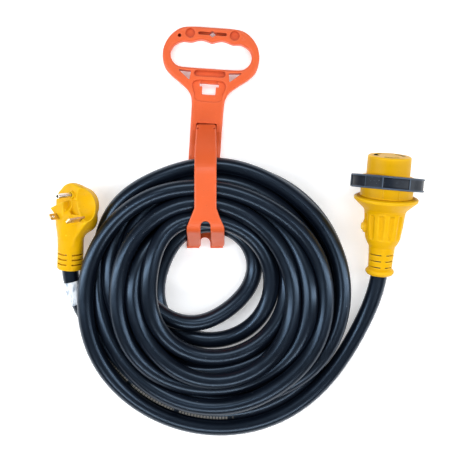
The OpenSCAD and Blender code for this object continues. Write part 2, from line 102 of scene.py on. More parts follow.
# One row per turn, from the connector inwards: (radius, height) in mm,
# clockwise from 315 degrees in steps of 45
TURNS = [
    [(142, 8), (136, 8), (132, 8), (127, 18), (116, 32), (100, 40), (99, 40), (109, 38)],
    [(112, 32), (114, 28), (115, 24), (114, 14), (120, 20), (118, 32), (124, 26), (128, 25)],
    [(124, 22), (118, 20), (113, 18), (102, 10), (97, 8), (103, 11), (111, 8), (113, 8)],
    [(109, 8), (104, 8), (98, 8), (86, 8), (81, 8), (86, 11), (94, 8), (97, 8)],
    [(93, 8), (88, 8), (88, 8), (89, 14), (91, 20), (96, 24), (95, 24), (95, 25)],
    [(96, 26), (96, 26), (99, 30), (95, 36), (88, 40), (80, 41), (79, 40), (80, 37)],
    [(86, 34), (89, 37), (82, 37), (79, 36), (79, 30), (84, 24), (79, 22), (72, 24)],
    [(69, 30), (65, 35), (67, 39), (71, 41), (76, 42), (75, 37), (66, 30), (57, 24)],
    [(52, 14), (49, 8), (57, 8), (65, 8), (70, 8), (70, 8.5), (57, 9), (35, 8)],
    [(17, 8), (25, 10), (55, 24), (80, 25), (97, 24), (102, 27), (106, 25), (104, 22)],
    [(84, 12), (78, 10), (88, 16), (103, 20), (112, 13), (121, 12), (126, 8), (127, 8)],
]
SEEN_TURNS = [1, 1, 0, 0, 0, 1, 1, 1, 1, 0, 0]
LAST_TURN = [(315, 126, 8.3), (270, 121, 8.3), (225, 122, 8.3)]
# Each lead is straight where it leaves its housing, along the housing's axis
PLUG_LEAD = [
    (-141, -180, 8.3), (-147, -170, 8.3), (-153, -158, 8.4), (-158, -147, 8.5), (-162.2, -137, 9.1),
    (-165, -127, 10.9), *(PLUG @ Vector((NECK_X, y, NECK_Z)) for y in (-77.5, -66, -54)),
]
CONNECTOR_LEAD = [
    *(CONNECTOR @ Vector((0, 0, z)) for z in (-50, -65, -80)), (142.4, -133, 16.1), (139.6, -143, 12.8),
    (136.2, -152.5, 10.1), (132, -163, 8.6), (127, -174, 8.3), (121, -186, 8.3), (113, -199, 8.3),
]
# The carrier's arm from the side, from its feet to its latch: (y, z) in mm
ARM_LINE = [
    (-93.1, 6.6), (-87.7, 21), (-81.6, 37.4), (-77.2, 46.8), (-69.5, 51.4), (-58, 52.3), (-45, 52.4),
    (-30, 52.3), (-18, 50.2), (-6, 43), (6, 32), (17, 20.8), (26, 11.3),
]
ARM_LEG, ARM_TOP = np.array(ARM_LINE[:4]) / 1000, np.array(ARM_LINE[3:]) / 1000
ARM_X, STRAP_X = -0.0289, -0.0304
HINGE_Y, HINGE_Z = -0.0947, 0.00225
# Which way the arm's legs lean, as (y, z)
LEG_Y, LEG_Z = 0.353, 0.935
STRAP_HALF, STRAP_END, STRAP_LIFT = 0.0165, 0.0945, 0.0046
ARM_PLAY, LEG_PLAY = 0.0026, 0.0024
STIFF = 0.11


def turn_angle(x, y):
    return math.degrees(math.atan2(y / 1000 - COIL_C[1], x / 1000 - COIL_C[0]))


def reach(x, y):
    return math.hypot(x / 1000 - COIL_C[0], y / 1000 - COIL_C[1])


def cord_targets():
    """The whole centreline as it should lie, with how firmly each point is held there."""
    stations = [(-turn_angle(x, y), reach(x, y), z / 1000) for x, y, z in CONNECTOR_LEAD]
    for i, row in enumerate(TURNS):
        stations += [(45 + 45 * (8 * i + k), r / 1000, z / 1000) for k, (r, z) in enumerate(row)]
    end = 360 * len(TURNS)
    stations += [(end + 360 - a, r / 1000, z / 1000) for a, r, z in LAST_TURN]
    stations += [(end + 360 - turn_angle(x, y) % 360, reach(x, y), z / 1000) for x, y, z in PLUG_LEAD]
    s = np.array(stations)
    u = s[:, 0]
    slope = np.empty((len(u), 2))
    slope[1:-1] = (s[2:, 1:] - s[:-2, 1:]) / (u[2:] - u[:-2])[:, None]
    slope[0] = (s[1, 1:] - s[0, 1:]) / (u[1] - u[0])
    slope[-1] = (s[-1, 1:] - s[-2, 1:]) / (u[-1] - u[-2])
    at = np.arange(u[0], u[-1], 1.5)
    i = np.clip(np.searchsorted(u, at, side="right") - 1, 0, len(u) - 2)
    h = (u[i + 1] - u[i])[:, None]
    t = (at - u[i])[:, None] / h
    v = ((2 * t**3 - 3 * t**2 + 1) * s[i, 1:] + (t**3 - 2 * t**2 + t) * h * slope[i]
         + (3 * t**2 - 2 * t**3) * s[i + 1, 1:] + (t**3 - t**2) * h * slope[i + 1])
    angle = np.radians(360 - at)
    turn = np.clip(((at - 45) // 360).astype(int), 0, len(TURNS) - 1)
    hold = np.array([0.006, 0.05])[np.array(SEEN_TURNS)[turn]]
    crossing = 45 + 360 * 9
    hold[(at > crossing - 75) & (at < crossing + 80)] = 0.1
    hold[at < 60] = 0.2
    hold[at > end + 20] = 0.12
    x = COIL_C[0] + v[:, 0] * np.cos(angle)
    y = COIL_C[1] + v[:, 0] * np.sin(angle)
    return np.stack([x, y, v[:, 1], hold], 1)


def evenly(points, spacing):
    """The same line with points a fixed distance apart."""
    s = np.r_[0, np.cumsum(np.linalg.norm(np.diff(points[:, :3], axis=0), axis=1))]
    at = np.linspace(0, s[-1], int(round(s[-1] / spacing)) + 1)
    return np.stack([np.interp(at, s, points[:, k]) for k in range(points.shape[1])], 1)


def tangents(p):
    t = np.gradient(p, axis=0)
    return t / np.linalg.norm(t, axis=1)[:, None]


def lay_down(p, target, hold, steps, weight, spread=0.0158):
    """Relaxes the cord: it is stiff, heavy, solid, and lies on the floor and the strap and under the arm."""
    n = len(p)
    gap = np.linalg.norm(np.diff(target, axis=0), axis=1).mean()
    fixed = np.zeros(n, bool)
    fixed[:5] = fixed[-5:] = True
    top_y = ARM_TOP[:, 0]
    slope = np.gradient(ARM_TOP[:, 1], ARM_TOP[:, 0])
    top_z = ARM_TOP[:, 1] - (ARM_PLAY + CORD_R) * np.sqrt(1 + slope**2)
    for step in range(steps):
        if step % 8 == 0:
            d2 = ((p[:, None] - p[None]) ** 2).sum(2)
            i, j = np.nonzero(d2 < (spread * 1.35) ** 2)
            far = j - i > int(2.2 * spread / gap)
            i, j = i[far], j[far]
        q = p.copy()
        q[:, 2] -= weight * (1 - 0.7 * step / steps)
        q += hold[:, None] * (target - p) * [1, 1, 0.3]
        for _ in range(14):
            bend = np.zeros_like(q)
            bend[1:-1] = q[:-2] + q[2:] - 2 * q[1:-1]
            spring = np.zeros_like(q)
            spring[2:-2] = bend[1:-3] + bend[3:-1] - 2 * bend[2:-2]
            q -= STIFF * spring
            q[:, 2] += 0.02 * bend[:, 2]
        t = tangents(q)
        for _ in range(3):
            bend = q[2:] + q[:-2] - 2 * q[1:-1]
            q[1:-1] += 0.4 * (bend * t[1:-1]).sum(1)[:, None] * t[1:-1]
        q[fixed] = p[fixed]
        p = q
        for _ in range(3):
            t = tangents(p)
            d = p[j] - p[i]
            along = (d * t[i]).sum(1)
            across = d - along[:, None] * t[i]
            l = np.linalg.norm(across, axis=1)
            hit = (np.abs(along) < gap * 0.75) & (l < spread)
            push, count = np.zeros_like(p), np.zeros(n)
            c = (spread - l[hit])[:, None] * 0.5 * across[hit] / np.maximum(l[hit], 1e-6)[:, None]
            np.add.at(push, i[hit], -c)
            np.add.at(push, j[hit], c)
            np.add.at(count, i[hit], 1)
            np.add.at(count, j[hit], 1)
            p = p + push / np.maximum(1, count * 0.7)[:, None] * np.where(fixed, 0, 1)[:, None]
            x, y, z = p.T
            over = (np.clip((STRAP_HALF + CORD_R - np.abs(x - STRAP_X)) / CORD_R, 0, 1)
                    * np.clip((CORD_R - 0.003 - y) / CORD_R, 0, 1)
                    * np.clip((y + STRAP_END + CORD_R) / CORD_R, 0, 1))
            low = CORD_R + STRAP_LIFT * np.minimum(1, over * 1.3)
            z = np.maximum(z, low)
            beside = np.clip((np.abs(x - ARM_X) - 0.0135) / 0.014, 0, 1) ** 2
            roof = np.interp(y, top_y, top_z) + 0.02 * beside
            z = np.where(y > -0.0772, np.minimum(z, np.maximum(roof, low)), z)
            leg_y = np.interp(z, ARM_LEG[:, 1], ARM_LEG[:, 0]) + (LEG_PLAY + CORD_R) / LEG_Z
            beside = np.clip((np.abs(x - ARM_X) - 0.0200) / 0.016, 0, 1) ** 2
            y = np.where((y > -0.094) & (z < 0.046), np.maximum(y, leg_y - 0.02 * beside), y)
            p = np.where(fixed[:, None], p, np.stack([x, y, z], 1))
    return p


def b_spline(p, parts):
    """Smooth line near the points, with an exact start and end."""
    p = np.vstack([2 * p[0] - p[1], p, 2 * p[-1] - p[-2]])
    t = (np.arange(parts) / parts)[None, :, None]
    a, b, c, d = (p[k:len(p) - 3 + k][:, None] for k in range(4))
    out = ((1 - t)**3 * a + (3 * t**3 - 6 * t**2 + 4) * b
           + (-3 * t**3 + 3 * t**2 + 3 * t + 1) * c + t**3 * d) / 6
    return np.vstack([out.reshape(-1, 3), p[-2]])


def cord_line():
    t = evenly(cord_targets(), 0.008)
    target, hold = t[:, :3], t[:, 3]
    p = target * [1, 1, 1.15]
    steps = 560
    p = lay_down(p, target, hold, steps, 1.2e-4)
    p = lay_down(p, target, hold * 0.5, steps // 2, 6e-5)
    for _ in range(40):
        bend = p[2:] + p[:-2] - 2 * p[1:-1]
        p[3:-3] -= STIFF * (bend[1:-3] + bend[3:-1] - 2 * bend[2:-2])
    return b_spline(p, 2)


LINE = cord_line()
CORD_LENGTH = float(np.linalg.norm(np.diff(LINE, axis=0), axis=1).sum())


def sweep(name, line, radius, sides, caps=True):
    """Round tube along a line. Its vertices keep their place round and along the jacket."""
    t = tangents(line)
    n = len(line)
    up = np.array([0, 0, 1.0]) - t * t[:, 2:]
    up /= np.linalg.norm(up, axis=1)[:, None]
    side = np.cross(t, up)
    radius = np.broadcast_to(radius, n)[:, None, None]
    a = np.arange(sides) * 2 * math.pi / sides
    ring = up[:, None] * np.cos(a)[None, :, None] + side[:, None] * np.sin(a)[None, :, None]
    verts = (line[:, None] + radius * ring).reshape(-1, 3)
    k = np.arange(sides)
    base = (np.arange(n - 1) * sides)[:, None]
    faces = np.stack([base + k, base + (k + 1) % sides, base + sides + (k + 1) % sides, base + sides + k], 2)
    faces = faces.reshape(-1, 4)[:, ::-1]
    if caps:
        verts = np.vstack([verts, line[:1], line[-1:]])
        last = (n - 1) * sides
        faces_caps = [(int(i), int((i + 1) % sides), n * sides) for i in k]
        faces_caps += [(int(last + (i + 1) % sides), int(last + i), n * sides + 1) for i in k]
    obj = new_mesh(name, verts, faces)
    if caps:
        bm = bmesh.new()
        bm.from_mesh(obj.data)
        bm.verts.ensure_lookup_table()
        for f in faces_caps:
            bm.faces.new([bm.verts[i] for i in f])
        bmesh.ops.recalc_face_normals(bm, faces=bm.faces)
        bm.to_mesh(obj.data)
        bm.free()
    along = np.r_[0, np.cumsum(np.linalg.norm(np.diff(line, axis=0), axis=1))]
    jacket = np.stack([np.tile(np.cos(a), n), np.tile(np.sin(a), n), np.repeat(along, sides)], 1)
    if caps:
        jacket = np.vstack([jacket, [[0, 0, 0], [0, 0, along[-1]]]])
    values = obj.data.attributes.new("jacket", "FLOAT_VECTOR", "POINT").data
    values.foreach_set("vector", jacket.astype(np.float32).ravel())
    return obj


cord = sweep("cord", LINE, CORD_R, 28)
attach(cord, "cord_set")
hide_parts("cord_plug_lead", "cord_coil", "cord_inner_turn", "cord_connector_lead")

# ------------------------------------------------------------------ solid shapes from distance fields, in mm


def soft_min(a, b, k):
    h = np.clip(0.5 + 0.5 * (b - a) / k, 0, 1)
    return b * (1 - h) + a * h - k * h * (1 - h)


def soft_max(a, b, k):
    return -soft_min(-a, -b, k)


def from_point(u, v, at=(0, 0)):
    """Distance from a point of the plane of u and v."""
    return np.sqrt((u - at[0]) ** 2 + (v - at[1]) ** 2)


def off_turn(angle, mid):
    """Degrees between two directions."""
    return np.abs((angle - mid + 180) % 360 - 180)


def outline_distance(x, y, points):
    """Signed distance to a closed outline, negative inside."""
    best = np.full(np.broadcast(x, y).shape, 1e9)
    inside = np.zeros(best.shape, bool)
    pts = np.asarray(points, float)
    for (ax, ay), (bx, by) in zip(pts, np.roll(pts, -1, 0)):
        ex, ey = bx - ax, by - ay
        if abs(ex) + abs(ey) < 1e-9:
            continue
        wx, wy = x - ax, y - ay
        t = np.clip((wx * ex + wy * ey) / (ex * ex + ey * ey), 0, 1)
        best = np.minimum(best, (wx - ex * t) ** 2 + (wy - ey * t) ** 2)
        if ey:
            inside ^= ((ay <= y) != (by <= y)) & (x < ax + wy * ex / ey)
    return np.sqrt(best) * np.where(inside, -1, 1)


def line_distance(x, y, points):
    best = 1e9
    for (ax, ay), (bx, by) in zip(points[:-1], points[1:]):
        ex, ey = bx - ax, by - ay
        t = np.clip(((x - ax) * ex + (y - ay) * ey) / (ex * ex + ey * ey), 0, 1)
        best = np.minimum(best, (x - ax - ex * t) ** 2 + (y - ay - ey * t) ** 2)
    return np.sqrt(best)


def block(x, y, z, centre, half, r=0.5):
    q = [np.abs(v - c) - h + r for v, c, h in zip((x, y, z), centre, half)]
    outside = np.sqrt(sum(np.maximum(v, 0) ** 2 for v in q))
    return outside + np.minimum(np.maximum(np.maximum(q[0], q[1]), q[2]), 0) - r


def catmull(points, parts, closed=False):
    p = [np.array(v, float) for v in points]
    n, out = len(p), []
    for i in range(n if closed else n - 1):
        a, b, c, d = (p[(i + k) % n] if closed else p[min(max(i + k, 0), n - 1)] for k in (-1, 0, 1, 2))
        for t in np.arange(parts) / parts:
            out.append(0.5 * (2 * b + (c - a) * t + (2 * a - 5 * b + 4 * c - d) * t**2
                              + (3 * b - 3 * c + d - a) * t**3))
    return np.array(out if closed else out + [p[-1]])


def mirrored(half):
    return np.vstack([half, half[::-1] * [-1, 1]])


CORNERS = [(a, b, c) for a in (0, 1) for b in (0, 1) for c in (0, 1)]


class Grid:
    """A block of space cut into small cells."""

    def __init__(self, low, high, step):
        self.step = step * 1
        self.low = np.array(low, float)
        self.size = np.ceil((np.array(high) - self.low) / self.step).astype(int) + 1
        self.x, self.y, self.z = (
            (self.low[k] + self.step * np.arange(self.size[k])).astype(np.float32)
            .reshape([-1 if k == m else 1 for m in range(3)])
            for k in range(3)
        )

    def sample(self, field, v):
        i = np.clip(np.floor(v).astype(int), 0, np.array(field.shape) - 2)
        f = v - i
        out = 0
        for a, b, c in CORNERS:
            w = np.prod([f[:, k] if far else 1 - f[:, k] for k, far in enumerate((a, b, c))], axis=0)
            out = out + w * field[i[:, 0] + a, i[:, 1] + b, i[:, 2] + c]
        return out

    def mesh(self, name, field, matrix):
        """Surface net of the zero level, pulled on to it, then moved by matrix from mm to metres."""
        field = np.ascontiguousarray(np.broadcast_to(field, self.size).astype(np.float32))
        for k in range(3):
            edge = [slice(None)] * 3
            for e in (0, -1):
                edge[k] = e
                field[tuple(edge)] = np.maximum(field[tuple(edge)], self.step * 0.5)
        solid = field < 0
        nx, ny, nz = self.size - 1
        count = sum(solid[a:nx + a, b:ny + b, c:nz + c].astype(np.int8) for a, b, c in CORNERS)
        mixed = (count > 0) & (count < 8)
        cells = np.argwhere(mixed)
        index = np.full(mixed.shape, -1, np.int32)
        index[mixed] = np.arange(len(cells))
        total, hits = np.zeros((len(cells), 3)), np.zeros(len(cells))
        for p in CORNERS:
            for k in range(3):
                if p[k]:
                    continue
                q = list(p)
                q[k] = 1
                fp = field[cells[:, 0] + p[0], cells[:, 1] + p[1], cells[:, 2] + p[2]]
                fq = field[cells[:, 0] + q[0], cells[:, 1] + q[1], cells[:, 2] + q[2]]
                m = (fp < 0) != (fq < 0)
                t = fp[m] / (fp[m] - fq[m])
                total[m] += np.array(p) + np.outer(t, np.array(q) - np.array(p))
                hits[m] += 1
        v = cells + total / hits[:, None]
        slopes = np.gradient(field)
        for _ in range(2):
            f = self.sample(field, v)
            g = np.stack([self.sample(s, v) for s in slopes], 1)
            v -= np.clip(f / np.maximum((g * g).sum(1), 1e-6), -0.5, 0.5)[:, None] * g
        quads = []
        for k in range(3):
            a, b = (k + 1) % 3, (k + 2) % 3
            first = [slice(None)] * 3
            second = [slice(None)] * 3
            first[k], second[k] = slice(0, -1), slice(1, None)
            for m in (a, b):
                first[m] = second[m] = slice(1, -1)
            s0, s1 = solid[tuple(first)], solid[tuple(second)]
            for turn, at in ((1, s0 & ~s1), (-1, ~s0 & s1)):
                e = np.argwhere(at)
                e[:, a] += 1
                e[:, b] += 1
                ring = []
                for da, db in ((1, 1), (0, 1), (0, 0), (1, 0)):
                    c = e.copy()
                    c[:, a] -= da
                    c[:, b] -= db
                    ring.append(index[c[:, 0], c[:, 1], c[:, 2]])
                quads.append(np.stack(ring[::turn], 1))
        verts = self.low + v * self.step
        m = np.array(matrix)
        verts = (verts @ m[:3, :3].T + m[:3, 3]) / 1000
        return new_mesh(name, verts, np.vstack(quads))


def wheel(grid, points, reach_r):
    """Distance to a solid of revolution about Z, from its outline as (radius, height)."""
    cell = 0.2
    r = from_point(grid.x, grid.y)
    table_r = np.arange(0, reach_r, cell)
    table = outline_distance(table_r[:, None], grid.z.ravel()[None], points)
    table = table.astype(np.float32)
    at = np.clip(r[:, :, 0] / cell, 0, len(table_r) - 1.001)
    i = at.astype(int)
    f = (at - i)[:, :, None]
    return table[i] * (1 - f) + table[i + 1] * f


def turned(x, y, degrees):
    c, s = math.cos(math.radians(degrees)), math.sin(math.radians(degrees))
    return c * x + s * y, -s * x + c * y


HANDLE = place(("move", (-28.7, 27.7, 0)), ("z", -3.9))
RING = CONNECTOR @ place(("move", (0, 0, 8.45)), ("y", 1.5), ("x", -8.5), ("move", (0, 0, 4.95)))


def build_handle():
    g = Grid((-51, -40, -1), (51, 101, 13.5), 0.62)
    half = catmull([
        (0, 98.3), (21.5, 98.2), (32.5, 96), (41, 89.5), (47, 80), (49, 69), (46.5, 57), (39.5, 48.5),
        (30, 41.5), (22, 35), (18, 29), (16.6, 22), (16.2, 10), (16.1, -12), (16.1, -35), (16.1, -60)], 5)[1:]
    outer = outline_distance(g.x, g.y, mirrored(half))
    half = catmull([
        (0, 82.6), (5, 84.6), (10, 85.6), (15, 84.8), (20.6, 82.8), (26, 83), (30.5, 82.7), (37.2, 79),
        (40.9, 72.5), (40.2, 65.5), (36.2, 60), (30.5, 57.3), (18, 56.8), (0, 56.8)], 4)[1:-1]
    hole = outline_distance(g.x, g.y, mirrored(half))
    top = np.interp(g.y, [-34, -20, -6, 24, 46, 110], [4.5, 4.8, 9, 9, 12, 12])
    plate = soft_max(outer, -hole, 1.2)
    body = soft_max(soft_max(plate, g.z - top, 3.2), -g.z, 1.4)
    body = soft_max(body, -36 - g.y, 0.5)

    def through(d):
        return soft_max(body, -d, 0.7)

    for s in (-1, 1):
        tri = outline_distance(g.x, g.y, [(s * 19, 53.4), (s * 32.2, 54), (s * 20.4, 44.4)])
        body = through(tri)
        dish = from_point(g.x, g.y, (s * 22.5, 91.5)) - 4.8
        body = through(soft_max(dish, 8 - g.z, 0.6))
    body = through(np.maximum(from_point(g.x, g.y, (-33.1, 88.3)) - 1.7, 6 - g.z))
    mark = from_point(g.x, g.y, (31.4, 89.4))
    body = np.maximum(body, -np.maximum(np.abs(mark - 1.4) - 0.4, 11.5 - g.z))
    slit = np.sqrt(np.maximum(np.abs(g.x) - 13.05, 0) ** 2 + (g.y - 92) ** 2) - 1.35
    body = through(np.maximum(slit, 7 - g.z))
    body = through(outline_distance(g.x, g.y, [(-3.9, 91.5), (0, 94.8), (3.9, 91.5), (0, 88.2)]))
    trough = np.sqrt(np.maximum(np.abs(g.x) - 12.8, 0) ** 2 + (g.y - 51.7) ** 2) - 3.1
    body = through(np.maximum(trough, 7.5 - g.z))
    pocket = outline_distance(g.x, g.y, catmull([
        (-13, 44.4), (0, 44.6), (13, 44.4), (17, 40), (14.5, 32), (11.2, 24.5), (-11.2, 24.5), (-14.5, 32),
        (-17, 40)], 4, closed=True))
    body = soft_max(body, -np.maximum(pocket, 8.3 - g.z), 1.4)
    tee = np.minimum(np.maximum(np.abs(g.x) - 9.8, np.abs(g.y - 40.4) - 1.6),
                     np.maximum(np.abs(g.x) - 6.8, np.abs(g.y - 35.8) - 5.05))
    body = through(tee)
    lip = np.maximum(np.abs(g.x) - 8.8, np.abs(g.y - 43.4) - 1.4)
    body = through(np.maximum(lip, 6.3 - g.z))
    body = through(np.maximum(np.maximum(np.abs(g.x) - 10, np.abs(g.y + 1.4) - 3), 1.7 - g.z))
    return g.mesh("carrier_grip", body, HANDLE)


def build_strap():
    """The strap under the coil, which carries on from the neck to the knuckles of the hinge."""
    g = Grid((-20, -99, -0.6), (20, -1, 6), 0.5)
    w, f = 16.5, 18.5
    plan = outline_distance(g.x, g.y, [
        (-w, -3), (w - 1, -3), (w, -60), (f, -78), (f, -94.7), (-f, -94.7), (-f, -78), (-w, -60)])
    slot = np.minimum(from_point(g.x, g.y, (0, -91.7)) - 5.5, np.maximum(np.abs(g.x) - 5.5, g.y + 91.7))
    body = soft_max(soft_max(plan, g.z - 4.5, 0.9), -g.z, 0.9)
    body = soft_max(body, -slot, 0.6)
    for s in (-1, 1):
        roll = np.maximum(from_point(g.y, g.z, (-94.7, 2.25)) - 2.2, np.abs(g.x - s * 12) - 6.4)
        body = soft_min(body, roll, 0.5)
    return g.mesh("carrier_strap", body, place(("move", (STRAP_X * 1000, 0, 0))))


def build_arm():
    g = Grid((-20, -98, 3), (20, 30, 57), 0.62)
    thick = line_distance(g.y, g.z, catmull(ARM_LINE, 4)) - 2.2
    w, f = 10.75, 18.5
    plan = outline_distance(g.x, g.y, [
        (-w + 1.2, 27.4), (w - 1.2, 27.4), (w, 0), (w, -57), (w + 3.2, -66), (f - 0.4, -75), (f, -79),
        (f, -93), (f - 1.2, -99), (-f + 0.6, -99), (-f, -93), (-f, -79), (-f + 0.4, -75), (-w - 3.6, -66),
        (-w, -57), (-w, 0)])
    straight = outline_distance(g.x, g.y, [(-4.75, -74.5), (4.75, -74.5), (5.75, -100), (-5.75, -100)])
    slot = soft_min(from_point(g.x, g.y, (0, -74.5)) - 4.75, straight, 0.3)
    foot = -(g.y - ARM_LINE[0][0]) * LEG_Y - (g.z - ARM_LINE[0][1]) * LEG_Z
    body = soft_max(soft_max(soft_max(thick, plan, 1.5), -slot, 1.0), foot, 0.8)
    # Two small notches by the latch
    for s in (-1, 1):
        notch = block(g.x, g.y, g.z, (s * 8.2, 23.6, 16.2), (0.9, 0.9, 1.2), 0.3)
        body = soft_max(body, -notch, 0.3)
    tongue = block(g.x, g.y, g.z, (0, 26.3, 8.0), (8.6, 1.5, 5.5), 0.3)
    body = soft_min(body, tongue, 0.6)
    return g.mesh("carrier_arm_skin", body, place(("move", (ARM_X * 1000, 0, 0))))


def build_web():
    """The thin web at the arm's feet, where the carrier folds, built in one fixed pose."""
    g = Grid((-20, -98, 1.5), (20, -89, 9), 0.45)
    y, z = turned(g.y - HINGE_Y * 1000, g.z - HINGE_Z * 1000, 69.3)
    body = np.maximum(np.abs(z) - 1.0, np.abs(y - 2.7) - 2.6)
    body = soft_max(body, np.abs(np.abs(g.x) - 11.6) - 5.6, 0.5)
    return g.mesh("carrier_web", body, place(("move", (ARM_X * 1000, 0, 0))))


def build_plug():
    g = Grid((-27, -80, -28), (28, 14, 8), 0.55)
    front = outline_distance(g.x, g.y, catmull([
        (-3, 11), (-12, 8), (-17.5, 3), (-22.4, -2.2), (-24.4, -8.5), (-24.2, -20), (-24, -33), (-20.4, -41),
        (-15, -52), (0, -52), (4.5, -44), (14.2, -32), (23.4, -20.5), (22.5, -8), (18, 1.5), (9, 8.5)],
        4, closed=True))
    back = soft_min(from_point(g.x, g.y, (-1, -12)) - 16.6,
                    from_point(g.x, g.y, (-1.2, -25)) - 15.3, 2)
    s = np.clip(-(g.z + 4) / 20, 0, 1)
    s = s * s * (3 - 2 * s)
    head = front * (1 - s) + back * s
    head = soft_max(soft_max(head, g.z, 2.6), -26 - g.z, 8)
    head = soft_max(head, -50 - g.y, 4)
    r = np.interp(g.y, [-80, -74, -60, -46, -34, -24, -14], [12.8, 13.1, 12.9, 12.9, 14.5, 15.2, 13])
    off_axis = from_point(g.x, g.z, (NECK_X, NECK_Z))
    neck = off_axis - r
    neck = soft_max(soft_max(neck, -77.5 - g.y, 2.2), g.y + 14, 6)
    body = soft_min(head, neck, 4.5)
    # The thumb scoop in the side of the head, with its stepped edge
    scoop = np.sqrt((g.x - 27.4) ** 2 + (g.y + 4) ** 2 + (g.z - 8) ** 2) - 22.9
    body = soft_max(body, -scoop, 0.8)
    # The raised block beside the hot blade, with one face along the blade
    raised = outline_distance(g.x, g.y, [(-23, -16), (-4.7, -6.8), (-3.8, -21), (-10.5, -26.5)])
    body = soft_min(body, soft_max(soft_max(raised, g.z - 8.5, 1.2), -3 - g.z, 0.5), 0.9)
    body = soft_min(body, soft_max(from_point(g.x, g.y) - 3.6, np.abs(g.z) - 3, 0.8), 1.0)
    body = soft_max(body, -block(g.x, g.y, g.z, (6.2, -12, 1.2), (6.5, 7.2, 2), 0.4), 0.5)
    # Three rows of grooves round the strain relief
    angle = np.degrees(np.arctan2(g.z - NECK_Z, g.x - NECK_X))
    ring = np.abs(off_axis - 13) - 2.6
    for row in range(3):
        for mid in (3, 93, 183, 273):
            off = off_turn(angle, mid) - 33
            cut = np.maximum(np.maximum(ring, np.abs(g.y + 61 + 5 * row) - 0.75), off * 0.22)
            body = soft_max(body, -cut, 0.4)
    body = soft_max(body, -np.maximum(off_axis - 8.45, g.y + 60), 0.5)
    # Ways through the face for the blades and the pin
    for side in (-1, 1):
        x, y = turned(g.x - side * 12.5, g.y + 22.7, side * 42)
        body = soft_max(body, -np.maximum(np.maximum(np.abs(x) - 3.6, np.abs(y) - 1.1), -4 - g.z), 0.25)
    body = soft_max(body, -np.maximum(from_point(g.x, g.y) - 2.65, 1 - g.z), 0.25)
    return g.mesh("plug_shell", body, PLUG)


def build_connector():
    g = Grid((-35, -35, -82), (35, 35, 1.5), 0.62)
    body = wheel(g, [
        (0, 0), (29.5, 0), (31.8, -1.2), (31.8, -3.6), (29.5, -5.6), (21.8, -12.4), (20.4, -15), (19.9, -20),
        (18.9, -32), (17.4, -42), (15.7, -46), (13.1, -50.5), (12.5, -58), (11.8, -72.2), (14.2, -74.6),
        (14.3, -76.6), (12.5, -79), (9.8, -80), (0, -80)], 52)
    body = body + 0.35
    # Long hollows between the grip's ribs
    for k in range(12):
        x, y = turned(g.x, g.y, k * 30 + 15)
        lean = -y - 19.9 - (g.z + 20) * 0.075
        flute = np.sqrt(x**2 + (lean - 2.3) ** 2) - 4.3
        body = soft_max(body, -soft_max(flute, np.abs(g.z + 29.5) - 13, 1.6), 0.5)
    angle = np.degrees(np.arctan2(g.y, g.x))
    r = from_point(g.x, g.y)
    for row in range(3):
        for mid in (51, 141, 231, 321):
            off = off_turn(angle, mid) - 36
            groove = np.maximum(np.abs(r - 12.4) - 3.3, np.abs(g.z + 57.8 + 6.3 * row) - 0.8)
            cut = np.maximum(groove, off * 0.2)
            body = soft_max(body, -cut, 0.4)
    boss = from_point(g.y, g.z, (0, -31)) - 6.2
    boss = soft_max(boss, -g.x - 20.3, 1.0)
    boss = np.maximum(boss, g.x + 13)
    body = soft_min(body - 0.35, boss, 1.2)
    body = soft_max(body, -np.maximum(from_point(g.y, g.z, (0, -31)) - 4.6, g.x + 11), 0.3)
    body = soft_max(body, -np.maximum(r - 8.4, g.z + 66), 0.5)
    body = np.maximum(body, g.z)
    return g.mesh("connector_shell", body, CONNECTOR)


# The nose's three contact slots, and the round end of the left one, in mm on the face
SLOT_TURNS, SLOT_R, SLOT_END = (150, 30, 270), 14.3, (-13.2, -0.5)


def build_nose():
    g = Grid((-29, -29, -0.8), (29, 29, 42), 0.6)
    body = wheel(g, [
        (0, 0), (25.9, 0), (25.9, 17), (27.8, 17), (27.8, 19), (21.4, 19), (21.4, 39.3), (20.2, 40.5),
        (0, 40.5)], 44)
    body = soft_max(body, -g.z, 0.3)
    angle = np.degrees(np.arctan2(g.y, g.x))
    r = from_point(g.x, g.y)
    for mid in SLOT_TURNS:
        off = np.radians(off_turn(angle, mid) - 31) * SLOT_R
        slot = np.maximum(np.maximum(np.abs(r - SLOT_R) - 1.7, off), 20 - g.z)
        body = soft_max(body, -slot, 0.3)
    round_end = from_point(g.x, g.y, SLOT_END) - 2.9
    body = soft_max(body, -np.maximum(round_end, 20 - g.z), 0.3)
    # Four thin ribs down the collar
    for mid in (255, 290, 70, 160):
        x, y = turned(g.x, g.y, mid)
        rib = block(x, y, g.z, (25.9, 0, 8.5), (0.5, 0.35, 8), 0.2)
        body = soft_min(body, rib, 0.4)
    return g.mesh("connector_nose_shell", body, CONNECTOR)


def build_ring():
    g = Grid((-38, -38, -7.5), (38, 38, 7.5), 0.55)
    body = wheel(g, [
        (27.2, -6.65), (36.5, -6.65), (36.5, 6.65), (30.5, 6.65), (30.5, -3.25), (27.2, -3.25)], 54)
    r = from_point(g.x, g.y)
    angle = np.degrees(np.arctan2(g.y, g.x))
    body = soft_max(body, r - 36.5 + np.maximum(0, np.abs(g.z) - 5.6) * 0.9, 0.5)
    thread = np.abs((g.z - angle / 360 * 2.6 + 1.3) % 2.6 - 1.3) - 0.45
    thread = np.maximum(thread, np.abs(r - 30.9) - 0.8)
    body = soft_max(body, -np.maximum(thread, np.abs(g.z - 1.9) - 4.2), 0.3)
    # Hollows between the five grip pads
    for k in range(5):
        mid = 255 + 72 * k + 21
        off = np.radians(off_turn(angle, mid) - 21) * 36
        hollow = np.maximum(np.maximum(off, 35.2 - r), np.abs(g.z) - 4.9)
        body = soft_max(body, -hollow, 0.25)
    return g.mesh("ring_skin", body, RING)


def stand_for(obj, body, slot, *nodes):
    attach(obj, body)
    if nodes:
        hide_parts(*nodes)
    return obj


